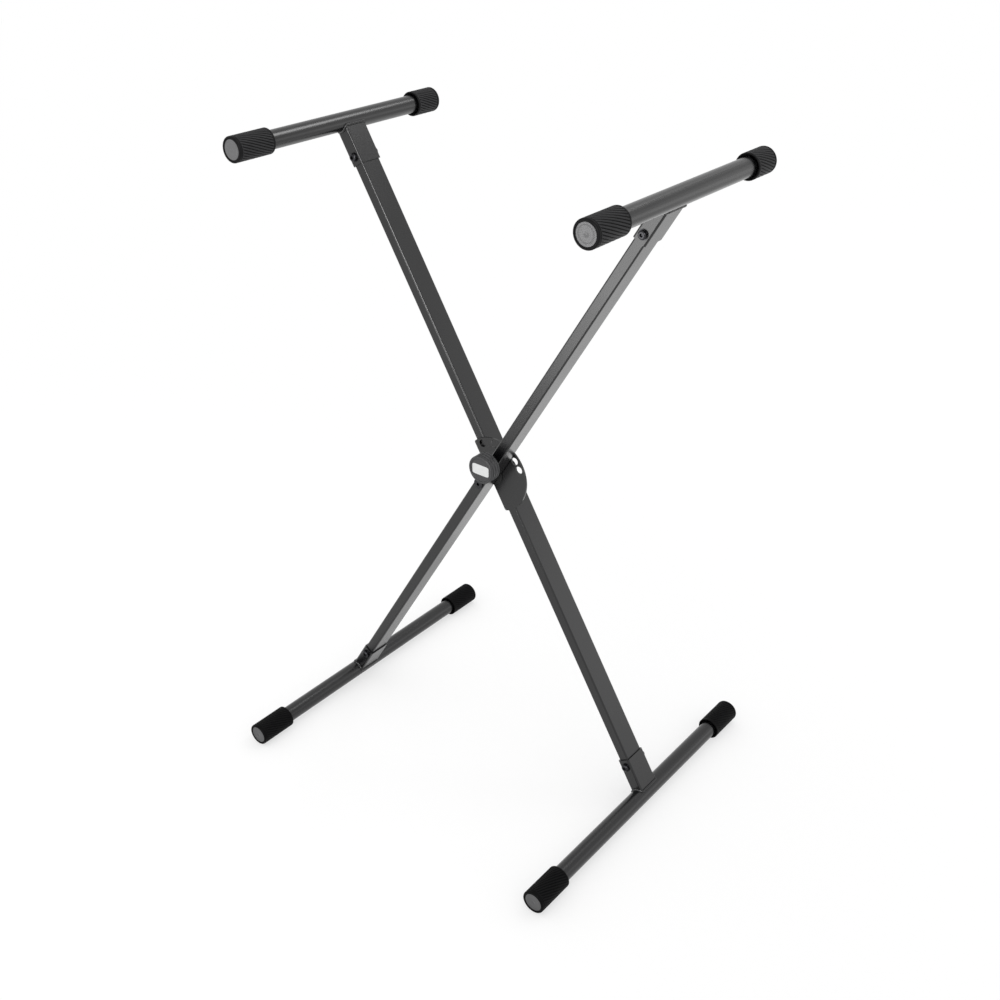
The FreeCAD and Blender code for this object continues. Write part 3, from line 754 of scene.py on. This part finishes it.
def weld_rows(bar, pivot):
    """Rows of a bead. The outline's place (a, c) lands on the bar's cylinder at the height that is
    the root of the bar's radius squared less c squared, measured from the bar's axis towards the
    pivot. The radius is its mean plus the swell times |sin| of the length along the weld."""
    low, high = (np.array(corner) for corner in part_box(bar + "_tube"))
    centre = (low + high) / 2
    socket_low, socket_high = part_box(bar + "_socket")
    centre[1] = (socket_low.y + socket_high.y) / 2
    bar_radius = (high[0] - low[0]) / 2
    to_pivot = (pivot - centre) * (1, 0, 1)
    to_pivot /= np.linalg.norm(to_pivot)
    along = np.array([0.0, 1.0, 0.0])
    across = np.cross(to_pivot, along)
    places, out, step = socket_outline()
    height = np.sqrt(bar_radius ** 2 - places[:, 1] ** 2)
    path = (centre + places[:, :1] * along + places[:, 1:] * across
            + height[:, None] * to_pivot)
    outward = out[:, :1] * along + out[:, 1:] * across
    radius = WELD_RADIUS + WELD_SWELL * np.abs(np.sin(math.pi * step / WELD_STEP))
    return rings_along(path, outward, radius[:, None, None], WELD_COLUMNS)


pivot_low, pivot_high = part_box("pivot_bolt")
pivot_place = (np.array(pivot_low) + np.array(pivot_high)) / 2
for bar in ("left_arm", "right_arm", "left_foot", "right_foot"):
    piece_from_rows(bar + "_weld_bead", weld_rows(bar, pivot_place), bar + "_socket",
                    finish["black_paint"], stands_in=False)

# %% [markdown]
# ## Floor
# The stand is shown on white paper that runs into a white surround. Enough lamps would burn a
# matt floor to white, but they would burn the stand as well. So to the camera and to reflections
# most of the floor's brightness is plain white, and a share is true reflected light, in which the
# stand keeps a soft shadow.

# %% White paper
SHADOW_SHARE = 0.4


def seen_by_eye(tree):
    """One for rays from the camera, a mirror or glass, and zero for the rays that spread light."""
    path = add_node(tree, "ShaderNodeLightPath").outputs
    direct = add_node(tree, "ShaderNodeMath", operation="MAXIMUM",
                      links={0: path["Is Camera Ray"], 1: path["Is Glossy Ray"]})
    either = add_node(tree, "ShaderNodeMath", operation="MAXIMUM",
                      links={0: direct.outputs[0], 1: path["Is Transmission Ray"]})
    return either.outputs[0]


def white_paper():
    """White seamless paper: matt, and mostly plain white to the eye."""
    material, tree = open_material("paper_seamless_white")
    matt = add_node(tree, "ShaderNodeBsdfDiffuse", {"Color": linear("#ffffff")})
    plain = add_node(tree, "ShaderNodeEmission", {"Color": linear("#ffffff"), "Strength": 1.0})
    share = add_node(tree, "ShaderNodeMath", {1: 1 - SHADOW_SHARE}, {0: seen_by_eye(tree)},
                     operation="MULTIPLY")
    both = add_node(tree, "ShaderNodeMixShader",
                    links={0: share.outputs[0], 1: matt.outputs["BSDF"],
                           2: plain.outputs["Emission"]})
    add_node(tree, "ShaderNodeOutputMaterial", links={"Surface": both.outputs["Shader"]})
    return material


# %% Floor
FLOOR_HALF = 6.0
corners = [(-FLOOR_HALF, -FLOOR_HALF, 0), (FLOOR_HALF, -FLOOR_HALF, 0),
           (FLOOR_HALF, FLOOR_HALF, 0), (-FLOOR_HALF, FLOOR_HALF, 0)]
floor_mesh = bpy.data.meshes.new("floor")
floor_mesh.from_pydata(corners, [], [(0, 1, 2, 3)])
floor_mesh.materials.append(white_paper())
floor = bpy.data.objects.new("floor", floor_mesh)
bpy.context.scene.collection.objects.link(floor)
print("floor is", 2 * FLOOR_HALF, "m wide")

# %% [markdown]
# ## Surround
# The room is a white world with a strength of one. A lit room of walls would do the same, but the
# world lights the stand evenly from all sides, and it is also what the satin coat mirrors.

# %% World
world = bpy.data.worlds.new("white_surround")
bpy.context.scene.world = world
world.use_nodes = True
tree = world.node_tree
tree.nodes.clear()
white = add_node(tree, "ShaderNodeBackground", {"Color": linear("#ffffff"), "Strength": 1.0})
add_node(tree, "ShaderNodeOutputWorld", links={"Surface": white.outputs["Background"]})
print("world is", world.name)

# %% [markdown]
# ## Lamps
# In a white room a black satin coat is lit less by lamps than by what it mirrors, so each lamp is
# placed where one face of the stand reflects it towards the camera. A single strong lamp would
# model the shape too, but it would burn out the pale panel. The two front lamps are seen in
# reflections only, and the others are weak cards that lift one face each by a few tones.

# %% Softbox
def softbox(name, place, aim, width, height, brightness, spread=180, only_mirrored=False):
    """A rectangular area lamp that faces a point and stays out of the picture. Its brightness
    counts a white wall as one, and its power follows from its area; spread is the angle of its
    beam in degrees. One that is only mirrored sheds no light on matt surfaces."""
    lamp = bpy.data.lights.new(name, "AREA")
    lamp.shape = "RECTANGLE"
    lamp.size = width
    lamp.size_y = height
    lamp.energy = brightness * math.pi * width * height
    lamp.spread = math.radians(spread)
    obj = bpy.data.objects.new(name, lamp)
    bpy.context.scene.collection.objects.link(obj)
    obj.location = place
    obj.rotation_euler = (Vector(aim) - Vector(place)).to_track_quat("-Z", "Y").to_euler()
    obj.visible_camera = False
    obj.visible_diffuse = not only_mirrored
    print(name, "has", round(lamp.energy, 1), "W")
    return obj


# %% Lamps
# Near the camera: the light line along the rear leg's rounded corner, and glints on the bolts.
softbox("key_softbox", (0.72, -1.07, 1.3), (-0.1, 0, 0.6), width=0.7, height=0.5, brightness=18,
        only_mirrored=True)
# Low at the front left: the front of the front leg's upper half.
softbox("front_panel", (-0.3, -1.05, 0.36), (0.2, 0, 0.75), width=0.5, height=0.54, brightness=6,
        only_mirrored=True)
# High behind, with a narrow beam: the highlight along the top of the left arm.
softbox("rear_strip", (0.28, 0.78, 1.78), (-0.24, -0.1, 0.81), width=0.6, height=0.45,
        brightness=0.8, spread=60)
# Behind to the right: the right flank of the right arm.
softbox("rear_card", (1.3, 2.1, 0.85), (0.2, 0, 0.8), width=0.85, height=1.5, brightness=0.4)
# Flat on the floor behind: the pale lower side of the front leg.
softbox("floor_card", (0, 0.85, 0.005), (0, 0.85, 1), width=1.0, height=1.2, brightness=0.35)
# Far behind to the right: the broad side of the lower rear leg.
softbox("low_right_card", (2.3, 2.05, 0.6), (0.1, 0, 0.3), width=1.4, height=0.9, brightness=0.75)

# %% [markdown]
# ## Camera
# The camera stands where the photograph was taken from: to the right of the stand's front and
# above it. Its place could be typed in as three numbers, but two angles and a distance from a point
# on the stand are easier to read and to change.

# %% Camera
CAMERA_AIM = Vector((0.0146, -0.0086, 0.3831))
CAMERA_AZIMUTH = math.radians(38.76)
CAMERA_ELEVATION = math.radians(29.72)
CAMERA_DISTANCE = 1.56
CAMERA_LENS = 45.03
CAMERA_SENSOR = 36

back = Vector((math.sin(CAMERA_AZIMUTH) * math.cos(CAMERA_ELEVATION),
               -math.cos(CAMERA_AZIMUTH) * math.cos(CAMERA_ELEVATION),
               math.sin(CAMERA_ELEVATION)))
camera_data = bpy.data.cameras.new("photo_camera")
camera_data.lens = CAMERA_LENS
camera_data.sensor_width = CAMERA_SENSOR
camera = bpy.data.objects.new("photo_camera", camera_data)
bpy.context.scene.collection.objects.link(camera)
camera.location = CAMERA_AIM + back * CAMERA_DISTANCE
camera.rotation_euler = (-back).to_track_quat("-Z", "Y").to_euler()
bpy.context.scene.camera = camera
bpy.context.scene.view_settings.view_transform = "Standard"
print("camera at", [round(value, 3) for value in camera.location])
